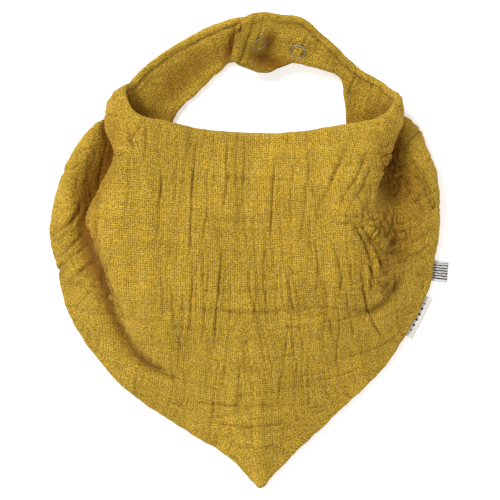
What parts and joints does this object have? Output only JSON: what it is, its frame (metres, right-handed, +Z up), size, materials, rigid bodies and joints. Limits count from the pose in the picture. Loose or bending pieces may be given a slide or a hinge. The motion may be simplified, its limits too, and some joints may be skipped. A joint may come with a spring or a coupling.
{
  "type": "bandana bib",
  "caption": "Cloth bandana bib lying face up: triangular double-gauze front, folded shoulders, straps fastened into a neck loop with ring snaps, a loop tag and a folded label.",
  "frame": {"origin": "on the table, under the middle of the bib's box", "axes": "+X to the bib's right as seen from above, +Y from the tip to the neck loop, +Z up from the table, out of the front"},
  "size_m": [0.2402, 0.2868, 0.0412],
  "materials": {
    "gauze": "matt crinkled double gauze",
    "interfacing": "matt non-woven",
    "thread": "matt thread",
    "snap_metal": "satin nickel",
    "striped_ribbon": "woven stripes, black on off-white",
    "label_cloth": "soft woven label cloth"
  },
  "bodies": {
    "front": {"front_outer": "gauze", "front_lining": "gauze"},
    "left_strap": {"left_strap_outer": "gauze", "left_strap_lining": "gauze", "left_snap_patch": "interfacing", "left_snap_socket": "snap_metal", "left_snap_ring": "snap_metal", "left_strap_stitching": "thread"},
    "right_strap": {"right_strap_outer": "gauze", "right_strap_lining": "gauze", "right_snap_patch": "interfacing", "right_snap_ring_1": "snap_metal", "right_snap_ring_2": "snap_metal", "right_snap_stud_1": "snap_metal", "right_snap_stud_2": "snap_metal", "right_strap_stitching": "thread"},
    "loop_tag": {"loop_tag": "striped_ribbon"},
    "woven_label": {"woven_label": "label_cloth"}
  },
  "joints": [
    {"name": "right_strap_lift", "type": "hinge", "parent": "front", "child": "right_strap", "pos_m": [0.06921, 0.09495, 0.00675], "axis": [0.8589, 0.3622, 0.3622], "range_deg": [0, 50]},
    {"name": "left_strap_lift", "type": "hinge", "parent": "front", "child": "left_strap", "pos_m": [-0.05724, 0.0935, 0.00575], "axis": [0.7668, -0.5925, -0.2469], "range_deg": [0, 30]},
    {"name": "loop_tag_flap", "type": "hinge", "parent": "front", "child": "loop_tag", "pos_m": [0.11176, -0.0117, 0.00096], "axis": [-0.0872, -0.9962, 0], "range_deg": [0, 70]},
    {"name": "label_flap", "type": "hinge", "parent": "front", "child": "woven_label", "pos_m": [0.10206, -0.0396, 0.00096], "axis": [-0.454, -0.891, 0], "range_deg": [0, 70]}
  ],
  "couplings": [
    {"joint": "left_strap_lift", "follows": "right_strap_lift", "ratio": 0.6}
  ]
}
